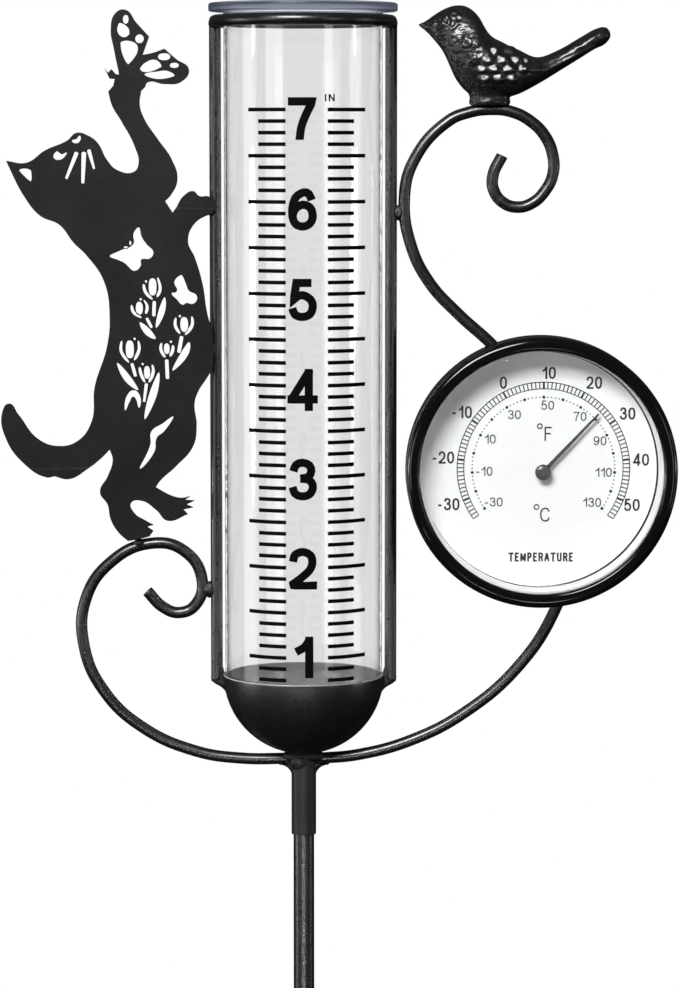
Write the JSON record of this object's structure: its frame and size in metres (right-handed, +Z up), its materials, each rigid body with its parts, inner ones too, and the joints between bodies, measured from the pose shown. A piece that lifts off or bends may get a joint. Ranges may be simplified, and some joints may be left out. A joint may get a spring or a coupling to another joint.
{
  "type": "manual rain gauge",
  "caption": "Clear graduated rain tube in a wire frame on a garden stake, with scrolls, a flat cat, a cast bird and a dial thermometer.",
  "frame": {"origin": "on the stake's axis at the soil line", "axes": "+Z up along the stake, +X to the right seen from the printed side, the printed side and the dial face -Y"},
  "size_m": [0.1858, 0.052, 0.6103],
  "materials": {
    "powder_coat": "fine textured black powder coat on steel rod",
    "sheet_coat": "matt black powder coat on laser-cut steel sheet",
    "cast_coat": "rough casting, black paint with a soft shine",
    "case_plastic": "moulded black, satin",
    "bezel_plastic": "moulded black, glossy",
    "lens_glass": "clear flat glass",
    "gasket_rubber": "matt",
    "white_plastic": "satin white",
    "dial_face": "printed white enamel",
    "brass": "turned",
    "bimetal": "rolled strip",
    "screw_steel": "bright zinc",
    "pointer_paint": "satin black enamel",
    "clear_plastic": "clear moulded plastic with black printed graduations"
  },
  "bodies": {
    "ground_spike": {"spike_rod": "powder_coat", "spike_socket": "powder_coat", "ground_fork": "powder_coat"},
    "stake": {"upper_stake": "powder_coat"},
    "head": {"stake_socket": "powder_coat", "cup": "powder_coat", "left_upright": "powder_coat", "right_upright": "powder_coat", "top_ring": "powder_coat", "left_scroll": "powder_coat", "right_scroll": "powder_coat", "cat_silhouette": "sheet_coat", "bird": "cast_coat", "rod_clip_lower": "powder_coat", "rod_clip_upper": "powder_coat", "clip_screw_1": "screw_steel", "clip_screw_2": "screw_steel", "clip_screw_3": "screw_steel", "clip_screw_4": "screw_steel", "thermometer_case": "case_plastic", "bezel_ring": "bezel_plastic", "lens": "lens_glass", "lens_gasket": "gasket_rubber", "inner_ring": "white_plastic", "dial_plate": "dial_face", "dial_spacer": "white_plastic", "arbor_bearing": "brass", "arbor_bush": "brass", "coil_post": "brass", "bimetal_coil": "bimetal"},
    "pointer": {"arbor": "screw_steel", "pointer": "pointer_paint", "pointer_cap": "pointer_paint"},
    "tube": {"rain_tube": "clear_plastic"}
  },
  "joints": [
    {"name": "stake_swivel", "type": "hinge", "parent": "ground_spike", "child": "stake", "pos_m": [0, 0, 0.07], "axis": [0, 0, 1], "continuous": true},
    {"name": "head_lift", "type": "slide", "parent": "stake", "child": "head", "axis": [0, 0, 1], "range_m": [0, 0.03]},
    {"name": "tube_lift", "type": "slide", "parent": "head", "child": "tube", "axis": [0, 0, 1], "range_m": [0, 0.215]},
    {"name": "pointer_turn", "type": "hinge", "parent": "head", "child": "pointer", "pos_m": [0.06584, -0.0121, 0.38225], "axis": [0, 1, 0], "range_deg": [-167, 80], "stiffness_Nm_per_rad": 0.002, "deforming": ["bimetal_coil"]}
  ]
}
